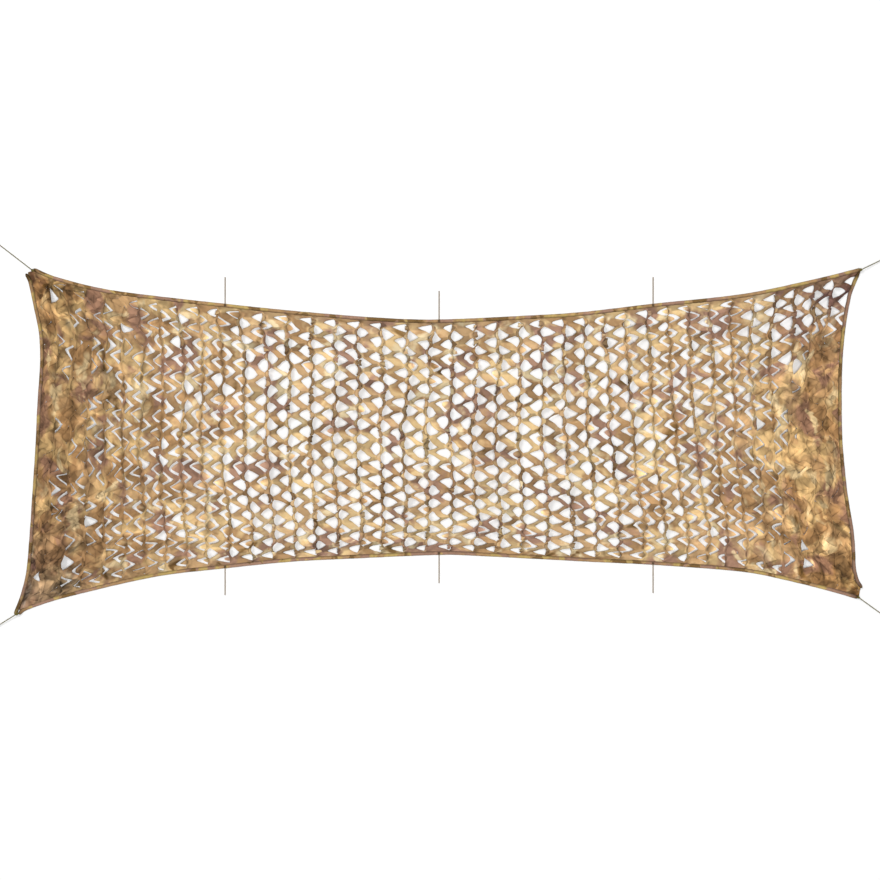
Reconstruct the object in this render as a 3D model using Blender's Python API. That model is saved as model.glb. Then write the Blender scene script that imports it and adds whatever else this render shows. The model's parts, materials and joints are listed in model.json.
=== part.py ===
"""A cut-cloth camouflage net, laid out flat and stretched by a cord at each corner.

The net is one cloth, slit in rows and pulled open.  A folded tape is sewn over each of its
four edges, six short tie cords are caught in the long tapes, and a cord knotted at each
corner runs out to a loop.  Here the cloth carries its outline, its main folds and its
twelve largest gaps; the fine slits between them are surface work.

X runs along the net, Y across it and Z up, in metres.  The origin lies under the middle
of the net on the surface that it rests on.
"""
import bpy
import bmesh
import math
from mathutils import Vector

# Driving dimensions
CLOTH = 0.002            # thickness of the slit cloth
TAPE = 0.001             # thickness of the folded edge tape
TAPE_WIDTH = 0.022
CLEAR = 0.0003           # between two pieces that touch
CORD_CLEAR = 1.6 * CLEAR # between the middle of a cord's end and its knot, as the cord slopes
CORD = 0.006             # diameter of the corner cords and ties
SLOT = CLOTH + 2 * CLEAR
TAPE_HEIGHT = SLOT + 2 * TAPE
TAPE_MIDDLE = TAPE_HEIGHT / 2
TAPE_STEP = 0.085        # between two sections of a tape
TAPE_ENDS = (0.0, 0.006, 0.014, 0.03)   # sections nearest to each end of a tape
BLUNT_END = 0.45         # width of a tape's very end, of its full width
ROUND_END = 0.014        # length over which an end narrows
TUCK = 0.005             # how far past the tape's middle line the cloth reaches

# Slit pattern of the cloth: columns along X, rows along Y
COLUMNS = 39
ROWS = 16
COLUMN_PULL = 0.28       # how much wider the middle columns are pulled than the end ones
COLUMN_BELLY = 0.18      # and how much more than that at half the net's width
COLUMN_SWING = 0.09      # how the widest columns drift from the upper left to the lower right
ROW_SQUEEZE = 0.06       # how much closer the rows lie near the long tapes
ROW_LEAN = (             # how far the middle rows lean up, by share of the net's length
    (0.0, -0.07), (0.3, -0.07), (0.4, -0.02), (0.52, -0.13), (0.62, -0.13), (0.72, -0.06),
    (0.82, 0.08), (1.0, 0.08),
)
BAND_X = 0.005           # flat band inside the tapes, as a share of the length
BAND_Y = 0.016           # and of the width
CELLS_X = 62             # facets of the cloth along the length
CELLS_Y = 15             # and across

# Middle lines of the four tapes, from end to end: x, y
TOP_LINE = (
    (-2.429, 1.037), (-2.402, 1.022), (-2.355, 0.997), (-2.080, 0.922), (-1.830, 0.881),
    (-1.280, 0.818), (-0.830, 0.772), (-0.340, 0.733), (0.000, 0.7235), (0.490, 0.745),
    (0.850, 0.767), (1.285, 0.818), (1.825, 0.876), (2.230, 0.959), (2.398, 0.999),
    (2.500, 1.026), (2.538, 1.036),
)
BOTTOM_LINE = (
    (-2.514, -1.036), (-2.505, -1.014), (-2.478, -0.993), (-2.400, -0.973), (-2.250, -0.925),
    (-1.712, -0.800), (-1.275, -0.747), (-0.890, -0.708), (-0.545, -0.690), (0.000, -0.667),
    (0.258, -0.674), (0.910, -0.708), (1.298, -0.727), (1.825, -0.768), (2.110, -0.824),
    (2.338, -0.881), (2.458, -0.915), (2.518, -0.934),
)
LEFT_LINE = (
    (-2.541, -1.036), (-2.527, -1.004), (-2.507, -0.958), (-2.488, -0.890), (-2.459, -0.759),
    (-2.430, -0.380), (-2.408, -0.036), (-2.395, 0.239), (-2.379, 0.469), (-2.385, 0.652),
    (-2.414, 0.791), (-2.439, 0.920), (-2.452, 0.977), (-2.474, 1.009),
)
RIGHT_LINE = (
    (2.541, -0.874), (2.515, -0.847), (2.496, -0.787), (2.484, -0.559), (2.445, -0.319),
    (2.420, -0.079), (2.411, 0.072), (2.411, 0.411), (2.430, 0.674), (2.467, 0.887),
    (2.488, 0.941), (2.512, 0.996),
)

# Corners of the cloth between the ends of the tapes: x, y
CLOTH_CORNERS = {
    "top_left": (-2.435, 1.007),
    "top_right": (2.482, 0.998),
    "bottom_left": (-2.483, -0.970),
    "bottom_right": (2.485, -0.892),
}
CORNER_RUN = 0.15        # length at each end where the cloth's edge leaves the tape

# Main folds, as soft ridges across the net: middle x, half width, height, lean in x per y
FOLDS = (
    (-2.28, 0.070, 0.019, -0.03),
    (-2.05, 0.090, 0.024, 0.05),
    (-1.78, 0.080, 0.016, -0.04),
    (-1.42, 0.110, 0.022, 0.03),
    (-1.02, 0.100, 0.018, -0.02),
    (-0.60, 0.120, 0.023, 0.04),
    (-0.16, 0.110, 0.019, -0.03),
    (0.30, 0.120, 0.024, 0.02),
    (0.76, 0.110, 0.018, 0.05),
    (1.18, 0.110, 0.022, -0.04),
    (1.58, 0.090, 0.020, 0.03),
    (1.90, 0.080, 0.026, -0.05),
    (2.12, 0.070, 0.021, 0.04),
    (2.30, 0.060, 0.024, -0.02),
)
# Creases that run in from the corners: corner, direction in degrees, length, half width, height
CREASES = (
    ("top_left", -38, 0.55, 0.045, 0.012),
    ("top_left", -62, 0.40, 0.040, 0.010),
    ("top_right", -140, 0.60, 0.045, 0.012),
    ("top_right", -160, 0.45, 0.040, 0.010),
    ("bottom_left", 40, 0.60, 0.045, 0.013),
    ("bottom_left", 22, 0.45, 0.040, 0.010),
    ("bottom_right", 140, 0.55, 0.045, 0.012),
    ("bottom_right", 118, 0.40, 0.040, 0.010),
)
FOLD_DRIFT = 0.25        # how much a fold's height swells and sinks along its run

# The twelve largest gaps: column and row of the slit pattern
GAPS = (
    (12, 4), (12, 12), (15, 7), (15, 14), (18, 4), (18, 10),
    (21, 6), (21, 13), (24, 4), (24, 10), (27, 7), (27, 14),
)
GAP_OFFSET = 0.32        # from the column's own line to the gap's middle, in columns
GAP_LENGTH = 0.066       # from its broad side at the slit's root to its point
GAP_WIDTH = 0.056

# Tie cords: x, y of the free end
TIES = {
    "tie_top_left": (-1.280, 0.989),
    "tie_top_middle": (0.004, 0.906),
    "tie_top_right": (1.288, 0.989),
    "tie_bottom_left": (-1.280, -0.919),
    "tie_bottom_middle": (0.004, -0.847),
    "tie_bottom_right": (1.288, -0.907),
}

# Corner knots and the cords from them: knot x, y, and direction of the cord x, y
CORNER_CORDS = {
    "top_left": (-2.433, 1.028, -0.793, 0.609),
    "top_right": (2.533, 1.031, 0.900, 0.436),
    "bottom_left": (-2.526, -1.031, -0.852, -0.523),
    "bottom_right": (2.519, -0.932, 0.812, -0.583),
}
CORD_REACH = 2.685       # |x| where each corner cord meets its end knot
KNOT_RADIUS = 0.0075     # from a knot's middle to its flat sides
KNOT_LENGTH = 0.018
KNOT_SIDES = 8
KNOT_CORNER = KNOT_RADIUS / math.cos(math.pi / KNOT_SIDES)
LOOP_LENGTH = 0.055
LOOP_WIDTH = 0.028
LOOP_LEG = 0.005         # straight part of each leg of the loop
LOOP_TURNS = 13
LOOP_FOOT = 0.0045       # from the middle of the knot to each leg of the loop


def clear_scene():
    for item in list(bpy.data.objects):
        bpy.data.objects.remove(item)


def material(name, colour, roughness):
    made = bpy.data.materials.new(name)
    made.use_nodes = True
    shader = made.node_tree.nodes["Principled BSDF"]
    shader.inputs["Base Color"].default_value = (*colour, 1.0)
    shader.inputs["Roughness"].default_value = roughness
    shader.inputs["Metallic"].default_value = 0.0
    return made


def mesh_object(name, vertices, faces, surface):
    mesh = bpy.data.meshes.new(name)
    mesh.from_pydata([tuple(v) for v in vertices], [], faces)
    shape = bmesh.new()
    shape.from_mesh(mesh)
    bmesh.ops.triangulate(shape, faces=shape.faces)
    bmesh.ops.recalc_face_normals(shape, faces=shape.faces)
    shape.to_mesh(mesh)
    shape.free()
    mesh.materials.append(surface)
    made = bpy.data.objects.new(name, mesh)
    bpy.context.collection.objects.link(made)
    return made


def smooth_line(points, per_span=16):
    """A Catmull-Rom curve through the points, as closely spaced points."""
    ends = [2 * Vector(points[0]) - Vector(points[1])]
    ends += [Vector(p) for p in points]
    ends.append(2 * ends[-1] - ends[-2])
    line = []
    for a, b, c, d in zip(ends, ends[1:], ends[2:], ends[3:]):
        for step in range(per_span):
            t = step / per_span
            line.append(0.5 * (2 * b + (c - a) * t + (2 * a - 5 * b + 4 * c - d) * t ** 2
                               + (3 * b - a - 3 * c + d) * t ** 3))
    line.append(ends[-2])
    return line


def distances(line):
    run = [0.0]
    for a, b in zip(line, line[1:]):
        run.append(run[-1] + (b - a).length)
    return run


def place_on(line, run, at):
    """The point and unit direction at a distance along a line."""
    at = min(max(at, 0.0), run[-1])
    index = 0
    while index < len(run) - 2 and run[index + 1] < at:
        index += 1
    a, b = line[index], line[index + 1]
    share = (at - run[index]) / (run[index + 1] - run[index])
    return a.lerp(b, share), (b - a).normalized()


def tape_stations(length):
    """Distances of a tape's sections: close together at its ends, even between them."""
    inner = length - 2 * TAPE_ENDS[-1]
    count = round(inner / TAPE_STEP)
    middle = [TAPE_ENDS[-1] + inner * n / count for n in range(1, count)]
    return list(TAPE_ENDS) + middle + [length - d for d in reversed(TAPE_ENDS)]


def tape_width(at, length):
    nearest = min(at, length - at)
    share = min(1.0, nearest / ROUND_END)
    return TAPE_WIDTH * (BLUNT_END + (1 - BLUNT_END) * math.sqrt(share))


def folded_tape(name, points, inward, surface):
    """A tape folded in a U over the cloth's edge, open towards the net."""
    line = smooth_line(points)
    run = distances(line)
    vertices = []
    sections = tape_stations(run[-1])
    for at in sections:
        middle, along = place_on(line, run, at)
        side = Vector((-along.y, along.x)) * inward
        half = tape_width(at, run[-1]) / 2
        profile = (
            (-half, 0.0), (half, 0.0), (half, TAPE), (TAPE - half, TAPE),
            (TAPE - half, TAPE + SLOT), (half, TAPE + SLOT),
            (half, TAPE_HEIGHT), (-half, TAPE_HEIGHT),
        )
        for across, height in profile:
            spot = middle + side * across
            vertices.append((spot.x, spot.y, height))
    corners = len(vertices) // len(sections)
    faces = []
    for n in range(len(sections) - 1):
        for k in range(corners):
            a = n * corners + k
            b = n * corners + (k + 1) % corners
            faces.append((a, b, b + corners, a + corners))
    last = (len(sections) - 1) * corners
    faces.append(tuple(reversed(range(corners))))
    faces.append(tuple(range(last, last + corners)))
    return mesh_object(name, vertices, faces, surface)


def cloth_edge(points, inward, start, end):
    """The cloth's edge: in the tape's fold along the run, and free of it at both corners."""
    line = smooth_line(points)
    run = distances(line)
    kept = [Vector(start)]
    steps = 120
    for n in range(steps + 1):
        at = CORNER_RUN + (run[-1] - 2 * CORNER_RUN) * n / steps
        middle, along = place_on(line, run, at)
        side = Vector((-along.y, along.x)) * inward
        kept.append(middle - side * TUCK)
    kept.append(Vector(end))
    return kept, distances(kept)


def cloth_edges():
    corner = CLOTH_CORNERS
    return {
        "top": cloth_edge(TOP_LINE, -1, corner["top_left"], corner["top_right"]),
        "bottom": cloth_edge(BOTTOM_LINE, 1, corner["bottom_left"], corner["bottom_right"]),
        "left": cloth_edge(LEFT_LINE, -1, corner["bottom_left"], corner["top_left"]),
        "right": cloth_edge(RIGHT_LINE, 1, corner["bottom_right"], corner["top_right"]),
    }


def cloth_place(edges, u, v):
    """The point of the stretched cloth at u along the net and v across it, both 0 to 1."""
    top = place_on(*edges["top"], u * edges["top"][1][-1])[0]
    bottom = place_on(*edges["bottom"], u * edges["bottom"][1][-1])[0]
    left = place_on(*edges["left"], v * edges["left"][1][-1])[0]
    right = place_on(*edges["right"], v * edges["right"][1][-1])[0]
    corner = {name: Vector(place) for name, place in CLOTH_CORNERS.items()}
    across = bottom.lerp(top, v)
    along = left.lerp(right, u)
    flat_low = corner["bottom_left"].lerp(corner["bottom_right"], u)
    flat_high = corner["top_left"].lerp(corner["top_right"], u)
    return across + along - flat_low.lerp(flat_high, v)


def fold_height(x, y):
    """Height of the main folds and corner creases over the surface that the net lies on."""
    height = 0.0
    for middle, half, rise, lean in FOLDS:
        offset = (x - middle - lean * y) / half
        swell = 1 + FOLD_DRIFT * math.sin(5.1 * y + 9 * middle)
        height = max(height, rise * swell * math.exp(-offset * offset))
    for corner, degrees, length, half, rise in CREASES:
        start = Vector(CLOTH_CORNERS[corner])
        turn = math.radians(degrees)
        along = (x - start.x) * math.cos(turn) + (y - start.y) * math.sin(turn)
        aside = (y - start.y) * math.cos(turn) - (x - start.x) * math.sin(turn)
        if 0 < along < length:
            fade = math.sin(math.pi * along / length)
            height = max(height, rise * fade * math.exp(-(aside / half) ** 2))
    return height


def net_sheet(surface):
    """The stretched cloth: flat where the tapes hold it, in folds between them."""
    edges = cloth_edges()
    inner_x = [BAND_X + (1 - 2 * BAND_X) * n / CELLS_X for n in range(CELLS_X + 1)]
    inner_y = [BAND_Y + (1 - 2 * BAND_Y) * n / CELLS_Y for n in range(CELLS_Y + 1)]
    along = [0.0] + inner_x + [1.0]
    across = [0.0] + inner_y + [1.0]
    held = (0, 1, -1, -2)
    held_x = {along[n] for n in held}
    held_y = {across[n] for n in held}
    vertices = []
    for side in (-1, 1):
        for u in along:
            for v in across:
                place = cloth_place(edges, u, v)
                if u in held_x or v in held_y:
                    middle = TAPE_MIDDLE
                else:
                    middle = CLOTH / 2 + fold_height(place.x, place.y)
                vertices.append((place.x, place.y, middle + side * CLOTH / 2))
    rows = len(across)
    layer = len(along) * rows

    def corner(side, m, n):
        return side * layer + m * rows + n

    faces = []
    for m in range(len(along) - 1):
        for n in range(rows - 1):
            for side in (0, 1):
                a, b = corner(side, m, n), corner(side, m + 1, n)
                c, d = corner(side, m + 1, n + 1), corner(side, m, n + 1)
                faces.append((a, b, c))
                faces.append((a, c, d))
    for m in range(len(along) - 1):
        for n in (0, rows - 1):
            faces.append((corner(0, m, n), corner(0, m + 1, n), corner(1, m + 1, n), corner(1, m, n)))
    for n in range(rows - 1):
        for m in (0, len(along) - 1):
            faces.append((corner(0, m, n), corner(0, m, n + 1), corner(1, m, n + 1), corner(1, m, n)))
    sheet = mesh_object("netting", vertices, faces, surface)
    cut = sheet.modifiers.new("gaps", "BOOLEAN")
    cut.operation = "DIFFERENCE"
    cut.object = gap_cutter(edges)
    return sheet


def gap_cutter(edges):
    """One prism for each large gap: broad at the slit's root and pointed along +X."""
    outline = (
        (-0.42, -0.36), (-0.50, 0.0), (-0.42, 0.36), (0.0, 0.5), (0.5, 0.0), (0.0, -0.5),
    )
    vertices = []
    faces = []
    for column, row in GAPS:
        middle = gap_middle(edges, column, row)
        first = len(vertices)
        sides = len(outline)
        for height in (-0.02, 0.08):
            for x, y in outline:
                vertices.append((middle.x + x * GAP_LENGTH, middle.y + y * GAP_WIDTH, height))
        faces.append(tuple(first + k for k in reversed(range(sides))))
        faces.append(tuple(first + sides + k for k in range(sides)))
        for k in range(sides):
            after = (k + 1) % sides
            faces.append((first + k, first + after, first + sides + after, first + sides + k))
    cutter = mesh_object("gap_cutter", vertices, faces, None)
    cutter.hide_render = True
    cutter.display_type = "WIRE"
    return cutter


def row_lean(w):
    """How far the middle rows lean up at a share of the net's length."""
    for (start, low), (end, high) in zip(ROW_LEAN, ROW_LEAN[1:]):
        if w <= end:
            return low + (high - low) * (w - start) / (end - start)
    return ROW_LEAN[-1][1]


def pattern_share(column, row):
    """Shares of the net's length and width at a column and row of the slit pattern."""
    w = column / COLUMNS
    r = row / ROWS
    turn = math.pi
    v = r + (row_lean(w) * math.sin(turn * r) - ROW_SQUEEZE / 2 * math.sin(2 * turn * r)) / turn
    pull = COLUMN_PULL + COLUMN_BELLY * math.sin(turn * v)
    swing = COLUMN_SWING * (1 - 2 * v) * (1 - math.cos(4 * turn * w)) / (4 * turn)
    u = (w + pull * (1 - math.cos(turn * w)) / turn + swing) / (1 + 2 * pull / turn)
    return u, v


def gap_middle(edges, column, row):
    return cloth_place(edges, *pattern_share(column + GAP_OFFSET, row))


def cord_tube(name, points, surface):
    """A round cord along the points, closed at both ends."""
    curve = bpy.data.curves.new(name, "CURVE")
    curve.dimensions = "3D"
    curve.bevel_depth = CORD / 2
    curve.bevel_resolution = 2
    curve.use_fill_caps = True
    curve.render_resolution_u = 0
    curve.materials.append(surface)
    spline = curve.splines.new("POLY")
    spline.points.add(len(points) - 1)
    for spot, place in zip(spline.points, points):
        spot.co = (*place, 1.0)
    made = bpy.data.objects.new(name, curve)
    bpy.context.collection.objects.link(made)
    return made


def straight(start, end):
    """Points along a taut cord, three diameters apart."""
    count = max(2, round((end - start).length / (3 * CORD)))
    return [start.lerp(end, n / count) for n in range(count + 1)]


def knot_body(name, middle, along, surface):
    """The outer shape of a pulled-tight knot: an eight-sided barrel with a flat side down."""
    aside = Vector((-along.y, along.x, 0.0))
    up = Vector((0.0, 0.0, 1.0))
    rings = ((-0.5, 0.70), (-0.22, 1.0), (0.22, 1.0), (0.5, 0.70))
    vertices = []
    for place, share in rings:
        for side in range(KNOT_SIDES):
            turn = 2 * math.pi * (side + 0.5) / KNOT_SIDES
            out = aside * math.cos(turn) + up * math.sin(turn)
            vertices.append(middle + along * place * KNOT_LENGTH + out * share * KNOT_CORNER)
    faces = [tuple(reversed(range(KNOT_SIDES)))]
    for ring in range(len(rings) - 1):
        for side in range(KNOT_SIDES):
            a = ring * KNOT_SIDES + side
            b = ring * KNOT_SIDES + (side + 1) % KNOT_SIDES
            faces.append((a, b, b + KNOT_SIDES, a + KNOT_SIDES))
    faces.append(tuple(len(vertices) - KNOT_SIDES + side for side in range(KNOT_SIDES)))
    return mesh_object(name, vertices, faces, surface)


def corner_cord(corner, surface):
    """The knot on a corner of the net, its taut cord, and the knot and loop at the far end."""
    x, y, along_x, along_y = CORNER_CORDS[corner]
    along = Vector((along_x, along_y, 0.0)).normalized()
    aside = Vector((-along.y, along.x, 0.0))
    knot_height = TAPE_HEIGHT + CLEAR + KNOT_RADIUS
    knot = Vector((x, y, knot_height))
    knot_body("corner_knot_" + corner, knot, along, surface)
    start = knot + along * (KNOT_LENGTH / 2 + CORD_CLEAR)
    reach = (CORD_REACH - abs(start.x)) / abs(along.x)
    end = start + along * reach
    end.z = CORD / 2 + CLEAR
    cord_tube("corner_cord_" + corner, straight(start, end), surface)
    far = end + along * (KNOT_LENGTH / 2 + CORD_CLEAR)
    far.z = KNOT_RADIUS
    knot_body("end_knot_" + corner, far, along, surface)
    foot = far + along * (KNOT_LENGTH / 2 + CLEAR)
    foot.z = CORD / 2
    cord_tube("end_loop_" + corner, loop_points(foot, along, aside), surface)


def loop_points(foot, along, aside):
    """An eye of cord whose two straight legs end side by side at the knot."""
    points = [foot + aside * LOOP_FOOT]
    for n in range(LOOP_TURNS + 1):
        turn = math.pi * n / LOOP_TURNS
        out = LOOP_LEG + (LOOP_LENGTH - LOOP_LEG) * abs(math.sin(turn)) ** 0.8
        wide = LOOP_FOOT * math.cos(turn) + LOOP_WIDTH / 2 * math.sin(2 * turn)
        points.append(foot + along * out + aside * wide)
    points.append(foot - aside * LOOP_FOOT)
    return points


def edge_height(points, x, outward):
    """Outer edge of a long tape at x."""
    line = smooth_line(points)
    for a, b in zip(line, line[1:]):
        if a.x <= x <= b.x:
            share = (x - a.x) / (b.x - a.x)
            slope = (b - a).normalized()
            return a.lerp(b, share).y + outward * TAPE_WIDTH / 2 / abs(slope.x)
    raise ValueError("the tie lies beyond the tape")


def tie_cord(name, surface):
    """A short tie cord that stands straight out from a long tape."""
    x, free_y = TIES[name]
    outward = 1 if free_y > 0 else -1
    points = TOP_LINE if outward > 0 else BOTTOM_LINE
    root_y = edge_height(points, x, outward) + outward * 2.5 * CLEAR
    height = CORD / 2
    cord_tube(name, straight(Vector((x, root_y, height)), Vector((x, free_y, height))), surface)


clear_scene()
camouflage = material("camouflage cloth", (0.42, 0.27, 0.12), 0.85)
tape = material("edge tape", (0.30, 0.19, 0.08), 0.85)
cordage = material("cordage", (0.50, 0.44, 0.30), 0.8)
net_sheet(camouflage)
folded_tape("tape_top", TOP_LINE, -1, tape)
folded_tape("tape_bottom", BOTTOM_LINE, 1, tape)
folded_tape("tape_left", LEFT_LINE, -1, tape)
folded_tape("tape_right", RIGHT_LINE, 1, tape)
for tie in TIES:
    tie_cord(tie, cordage)
for net_corner in CORNER_CORDS:
    corner_cord(net_corner, cordage)
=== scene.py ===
"""Looks of the camouflage net: a slit cloth pulled open, its sewn edge tapes, ties and cords."""
import json
import math

import bmesh
import bpy
import numpy as np
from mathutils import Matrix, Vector, noise
from mathutils.bvhtree import BVHTree


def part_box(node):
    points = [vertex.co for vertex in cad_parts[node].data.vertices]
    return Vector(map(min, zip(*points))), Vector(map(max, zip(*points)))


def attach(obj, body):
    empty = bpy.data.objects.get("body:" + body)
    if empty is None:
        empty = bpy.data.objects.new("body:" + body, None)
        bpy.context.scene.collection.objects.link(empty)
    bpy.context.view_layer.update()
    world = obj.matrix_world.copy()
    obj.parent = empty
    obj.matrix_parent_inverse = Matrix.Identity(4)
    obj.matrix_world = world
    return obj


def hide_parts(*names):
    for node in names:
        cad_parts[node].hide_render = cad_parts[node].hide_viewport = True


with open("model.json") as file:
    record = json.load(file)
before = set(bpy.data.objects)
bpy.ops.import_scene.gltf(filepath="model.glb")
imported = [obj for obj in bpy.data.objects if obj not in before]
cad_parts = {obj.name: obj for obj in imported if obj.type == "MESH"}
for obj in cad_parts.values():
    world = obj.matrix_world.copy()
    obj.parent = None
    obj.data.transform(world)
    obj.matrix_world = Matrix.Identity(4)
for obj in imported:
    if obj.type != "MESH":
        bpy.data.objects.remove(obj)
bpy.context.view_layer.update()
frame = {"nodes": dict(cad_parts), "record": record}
nodes = frame["nodes"]


# Camera. It stands straight over the net, which lies spread out with its length across the view,
# and far enough off that the net's ends are seen as square on as its middle.
CAMERA_PLACE = (0.0096, 0.0115, 12.47)
CAMERA_LENS = 85.0
CAMERA_SEES = 60.0       # how far off

bpy.ops.object.select_all(action="DESELECT")
bpy.ops.object.camera_add(location=CAMERA_PLACE, rotation=(0.0, 0.0, 0.0))
camera = bpy.context.object
camera.name = "camera"
camera.data.lens = CAMERA_LENS
camera.data.clip_end = CAMERA_SEES
bpy.context.scene.camera = camera
bpy.context.scene.view_settings.view_transform = "Standard"


# Floor and light. A plain pale floor under the net, a broad soft lamp over it, and one from its
# upper long edge that shows the relief of the folds.
FLOOR_SIDE = 60.0
FLOOR_LEVEL = -0.0005
FLOOR_GREY = (0.90, 0.90, 0.90)
SKY_STRENGTH = 0.43
LAMPS = {                # place, side and power; each is aimed at the middle of the net
    "lamp_over": ((2.6, -2.4, 20.0), 8.0, 2150.0),
    "lamp_upper_left": ((-12.0, 13.0, 16.0), 9.0, 2150.0),
}


def plain_material(name, colour, roughness):
    """A material of one colour, which the others are made from."""
    made = bpy.data.materials.new(name)
    made.use_nodes = True
    shader = made.node_tree.nodes["Principled BSDF"]
    shader.inputs["Base Color"].default_value = (*colour, 1.0)
    shader.inputs["Roughness"].default_value = roughness
    return made


bpy.ops.mesh.primitive_plane_add(size=FLOOR_SIDE, location=(0.0, 0.0, FLOOR_LEVEL))
floor = bpy.context.object
floor.name = "floor"
floor.data.materials.append(plain_material("pale floor", FLOOR_GREY, 0.7))
for name, (place, side, power) in LAMPS.items():
    bpy.ops.object.light_add(type="AREA", location=place)
    lamp = bpy.context.object
    lamp.name = name
    lamp.data.shape = "DISK"
    lamp.data.size = side
    lamp.data.energy = power
    lamp.rotation_euler = (-Vector(place)).to_track_quat("-Z", "Y").to_euler()
world = bpy.data.worlds.new("studio")
world.use_nodes = True
world.node_tree.nodes["Background"].inputs["Color"].default_value = (1.0, 1.0, 1.0, 1.0)
world.node_tree.nodes["Background"].inputs["Strength"].default_value = SKY_STRENGTH
bpy.context.scene.world = world


# Corner cords. A three-strand cord, six millimetres thick, is knotted to each corner of the net
# and pulled straight out from it; what it is made fast to holds its knotted loop.
CORD = 0.006             # thickness
CORNER_CORDS = {         # middle of the knot on the net's corner, and the way the cord runs from it
    "top_left": (-2.433, 1.028, -0.793, 0.609),
    "top_right": (2.533, 1.031, 0.900, 0.436),
    "bottom_left": (-2.526, -1.031, -0.852, -0.523),
    "bottom_right": (2.519, -0.932, 0.812, -0.583),
}
CORD_REACH = 2.685       # how far out along the net's length a cord ends
CORD_CLEAR = 0.00048     # between a cord and its knot's outer size
CORD_LIFT = 0.0003       # of a cord off the floor
KNOT_HEIGHT = 0.0124
KNOT_RADIUS = 0.0075
KNOT_LENGTH = 0.018
KNOT_CORD = 0.0045       # thickness of the cord where it is pulled tight in a knot
KNOT_TURNS = 4
KNOT_STEPS = 14          # points on each turn
LAY = 0.021              # run of one turn of the strands
STRANDS = 3
STRAND = 0.250           # radius of a strand, and its distance from the middle, in cord thicknesses
STRAND_SIDES = 6
STRAND_STEP = 0.42       # between its rings of points, in cord thicknesses
LOOP_LENGTH = 0.055
LOOP_WIDTH = 0.028
LOOP_LEG = 0.005         # straight run from the knot
LOOP_FOOT = 0.0045       # half the distance between the two legs
LOOP_TURNS = 13
OLIVE_CORD = ((0.170, 0.145, 0.045), (0.075, 0.062, 0.015))     # pale and dark
CORD_GLOSS = 0.12


def mesh_piece(name, vertices, faces, surface, print_places=None):
    """A smooth-shaded mesh object at the origin, with its own UV map in metres if places are given."""
    mesh = bpy.data.meshes.new(name)
    mesh.from_pydata([tuple(v) for v in vertices], [], faces)
    mesh.update()
    if print_places is not None:
        chart = mesh.uv_layers.new(name="print")
        corners = np.empty(len(mesh.loops), dtype=np.int32)
        mesh.loops.foreach_get("vertex_index", corners)
        chart.data.foreach_set("uv", np.asarray(print_places, float)[corners].ravel())
    mesh.shade_smooth()
    mesh.materials.append(surface)
    piece = bpy.data.objects.new(name, mesh)
    bpy.context.collection.objects.link(piece)
    return piece


def run_along(line):
    """Distance along a line of points at each of them."""
    return np.concatenate([[0.0], np.cumsum(np.linalg.norm(np.diff(line, axis=0), axis=1))])


def spots_at(places, run, line):
    """Points at places along a line, whose own points lie at the distances run."""
    return np.stack([np.interp(places, run, part) for part in line.T], axis=-1)


def along_path(points, step):
    """The path again with even steps, and the directions along it."""
    points = np.asarray([tuple(p) for p in points], float)
    run = run_along(points)
    count = max(3, int(round(run[-1] / step)) + 1)
    at = np.linspace(0.0, run[-1], count)
    line = spots_at(at, run, points)
    ahead = np.gradient(line, axis=0)
    return at, line, ahead / np.linalg.norm(ahead, axis=1)[:, None]


def laid_rope(name, points, diameter, surface, side_hint=(0.0, 0.0, 1.0)):
    """Three strands laid round each other along the path, each closed at its ends."""
    strand = STRAND * diameter
    at, line, ahead = along_path(points, diameter * STRAND_STEP)
    side = np.cross(ahead, side_hint)
    side /= np.linalg.norm(side, axis=1)[:, None]
    up = np.cross(side, ahead)
    vertices = []
    faces = []
    places = []
    for number in range(STRANDS):
        first = len(vertices)
        for n, (run, spot) in enumerate(zip(at, line)):
            turn = 2 * math.pi * (run / LAY + number / STRANDS)
            centre = spot + strand * (side[n] * math.cos(turn) + up[n] * math.sin(turn))
            for k in range(STRAND_SIDES):
                angle = 2 * math.pi * k / STRAND_SIDES + turn
                vertices.append(centre + strand * (side[n] * math.cos(angle) + up[n] * math.sin(angle)))
                places.append((run, (k / STRAND_SIDES + number) * diameter))
        rings = len(at)
        for n in range(rings - 1):
            for k in range(STRAND_SIDES):
                a = first + n * STRAND_SIDES + k
                b = first + n * STRAND_SIDES + (k + 1) % STRAND_SIDES
                faces.append((a, b, b + STRAND_SIDES, a + STRAND_SIDES))
        last = first + (rings - 1) * STRAND_SIDES
        faces.append(tuple(reversed(range(first, first + STRAND_SIDES))))
        faces.append(tuple(range(last, last + STRAND_SIDES)))
    return mesh_piece(name, vertices, faces, surface, places)


def shading_node(tree, kind, values=(), links=(), **settings):
    """Adds a node with its settings, the values of its sockets and the outputs that run into them."""
    made = tree.nodes.new("ShaderNode" + kind)
    for setting, value in settings.items():
        setattr(made, setting, value)
    for socket, value in dict(values).items():
        made.inputs[socket].default_value = value
    for socket, output in dict(links).items():
        tree.links.new(output, made.inputs[socket])
    return made


def noise_texture(tree, place, scale, detail=2.0, distortion=0.0):
    """A noise texture on the coordinates of a node's output."""
    values = {"Scale": scale, "Detail": detail, "Distortion": distortion}
    return shading_node(tree, "TexNoise", values, {"Vector": place})


def counted(tree, operation, *values):
    """The outcome of a sum on sockets and numbers."""
    numbers = {n: value for n, value in enumerate(values) if isinstance(value, float)}
    sockets = {n: value for n, value in enumerate(values) if not isinstance(value, float)}
    return shading_node(tree, "Math", numbers, sockets, operation=operation).outputs["Value"]


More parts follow.
